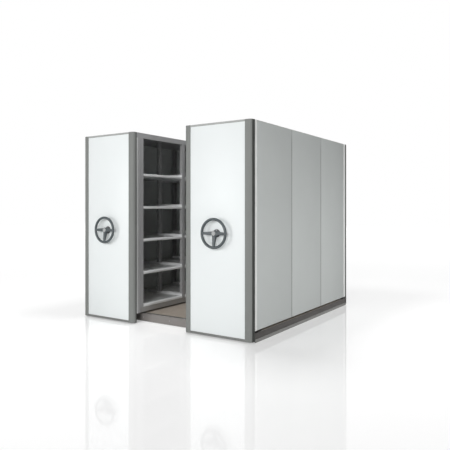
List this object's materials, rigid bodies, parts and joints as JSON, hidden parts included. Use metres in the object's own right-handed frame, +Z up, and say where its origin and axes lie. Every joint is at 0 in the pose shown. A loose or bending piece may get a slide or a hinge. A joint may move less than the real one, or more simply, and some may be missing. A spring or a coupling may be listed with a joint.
{
  "type": "mobile compactor shelving block",
  "caption": "Two hand-driven mobile shelving carriages on a low railed deck, grey posts, white panels, open shelves towards the aisle.",
  "frame": {"origin": "On the floor, at the middle of the outline box: midway between the platform's sides and midway from the handwheels' foremost point to the rear end panels.", "axes": "+X runs along the rails from the left carriage to the right one, +Y runs along the carriages from the handwheels to the back, +Z is up."},
  "size_m": [2.364, 2.568, 2.15],
  "materials": {
    "frame_dark": "satin powder coat",
    "rail_steel": "drawn steel, rolled bright by the wheels",
    "deck": "brown-grey film-faced board",
    "fascia": "satin powder coat",
    "skirt": "satin powder coat",
    "rubber": "matt",
    "zinc": "zinc plated",
    "cast": "grey enamelled casting",
    "steel": "drawn bright steel",
    "shelf": "light grey powder coat",
    "post": "satin grey",
    "side": "satin white powder coat",
    "strip": "satin white powder coat",
    "end": "satin white powder coat",
    "trim": "satin grey",
    "wheel": "moulded over a steel core",
    "cap": "moulded",
    "sprocket": "machined, lightly oiled",
    "chain": "lightly oiled",
    "running": "turned steel"
  },
  "bodies": {
    "platform": {"platform_frame": "frame_dark", "rails": "rail_steel", "deck_boards": "deck", "fascia": "fascia", "floor_skirts": "skirt", "end_stops": "frame_dark", "stop_pads": "rubber", "levelling_feet": "zinc"},
    "left_carriage": {"left_base_frame": "frame_dark", "left_shaft_bearings": "cast", "left_idler_axles": "steel", "left_tilt_guard": "zinc", "left_uprights": "shelf", "left_shelf_brackets": "shelf", "left_shelves": "shelf", "left_liners": "shelf", "left_top_cover": "post", "left_side_panels": "side", "left_edge_strips": "strip", "left_corner_posts": "post", "left_seal_strips": "rubber", "left_end_panels": "end", "left_panel_trims": "trim", "left_drive_bracket": "frame_dark", "left_hub_bearing": "cast", "left_chain": "chain"},
    "left_handwheel_body": {"left_handwheel": "wheel", "left_hub_cap": "cap", "left_wheel_shaft": "steel", "left_upper_sprocket": "sprocket"},
    "left_drive_shaft_body": {"left_drive_shaft": "steel", "left_lower_sprocket": "sprocket", "left_drive_wheels": "running"},
    "left_idlers_body": {"left_idler_wheels": "running"},
    "right_carriage": {"right_base_frame": "frame_dark", "right_shaft_bearings": "cast", "right_idler_axles": "steel", "right_tilt_guard": "zinc", "right_uprights": "shelf", "right_shelf_brackets": "shelf", "right_shelves": "shelf", "right_liners": "shelf", "right_top_cover": "post", "right_side_panels": "side", "right_edge_strips": "strip", "right_corner_posts": "post", "right_seal_strips": "rubber", "right_end_panels": "end", "right_panel_trims": "trim", "right_drive_bracket": "frame_dark", "right_hub_bearing": "cast", "right_chain": "chain"},
    "right_handwheel_body": {"right_handwheel": "wheel", "right_hub_cap": "cap", "right_wheel_shaft": "steel", "right_upper_sprocket": "sprocket"},
    "right_drive_shaft_body": {"right_drive_shaft": "steel", "right_lower_sprocket": "sprocket", "right_drive_wheels": "running"},
    "right_idlers_body": {"right_idler_wheels": "running"}
  },
  "joints": [
    {"name": "left_carriage_travel", "type": "slide", "parent": "platform", "child": "left_carriage", "axis": [1, 0, 0], "range_m": [0, 0.356]},
    {"name": "left_handwheel_turn", "type": "hinge", "parent": "left_carriage", "child": "left_handwheel_body", "pos_m": [-0.765, -1.256, 1.045], "axis": [0, 1, 0], "continuous": true, "deforming": ["left_chain"]},
    {"name": "left_drive_shaft_turn", "type": "hinge", "parent": "left_carriage", "child": "left_drive_shaft_body", "pos_m": [-1.015, 0, 0.1303], "axis": [0, 1, 0], "continuous": true},
    {"name": "left_idlers_turn", "type": "hinge", "parent": "left_carriage", "child": "left_idlers_body", "pos_m": [-0.515, 0, 0.1303], "axis": [0, 1, 0], "continuous": true},
    {"name": "right_carriage_travel", "type": "slide", "parent": "platform", "child": "right_carriage", "axis": [-1, 0, 0], "range_m": [0, 0.356]},
    {"name": "right_handwheel_turn", "type": "hinge", "parent": "right_carriage", "child": "right_handwheel_body", "pos_m": [0.765, -1.256, 1.045], "axis": [0, -1, 0], "continuous": true, "deforming": ["right_chain"]},
    {"name": "right_drive_shaft_turn", "type": "hinge", "parent": "right_carriage", "child": "right_drive_shaft_body", "pos_m": [1.015, 0, 0.1303], "axis": [0, -1, 0], "continuous": true},
    {"name": "right_idlers_turn", "type": "hinge", "parent": "right_carriage", "child": "right_idlers_body", "pos_m": [0.515, 0, 0.1303], "axis": [0, -1, 0], "continuous": true}
  ],
  "couplings": [
    {"joint": "left_handwheel_turn", "follows": "left_carriage_travel", "rad_per_m": 65.789},
    {"joint": "left_drive_shaft_turn", "follows": "left_carriage_travel", "rad_per_m": 26.316},
    {"joint": "left_idlers_turn", "follows": "left_carriage_travel", "rad_per_m": 26.316},
    {"joint": "right_handwheel_turn", "follows": "right_carriage_travel", "rad_per_m": 65.789},
    {"joint": "right_drive_shaft_turn", "follows": "right_carriage_travel", "rad_per_m": 26.316},
    {"joint": "right_idlers_turn", "follows": "right_carriage_travel", "rad_per_m": 26.316}
  ]
}
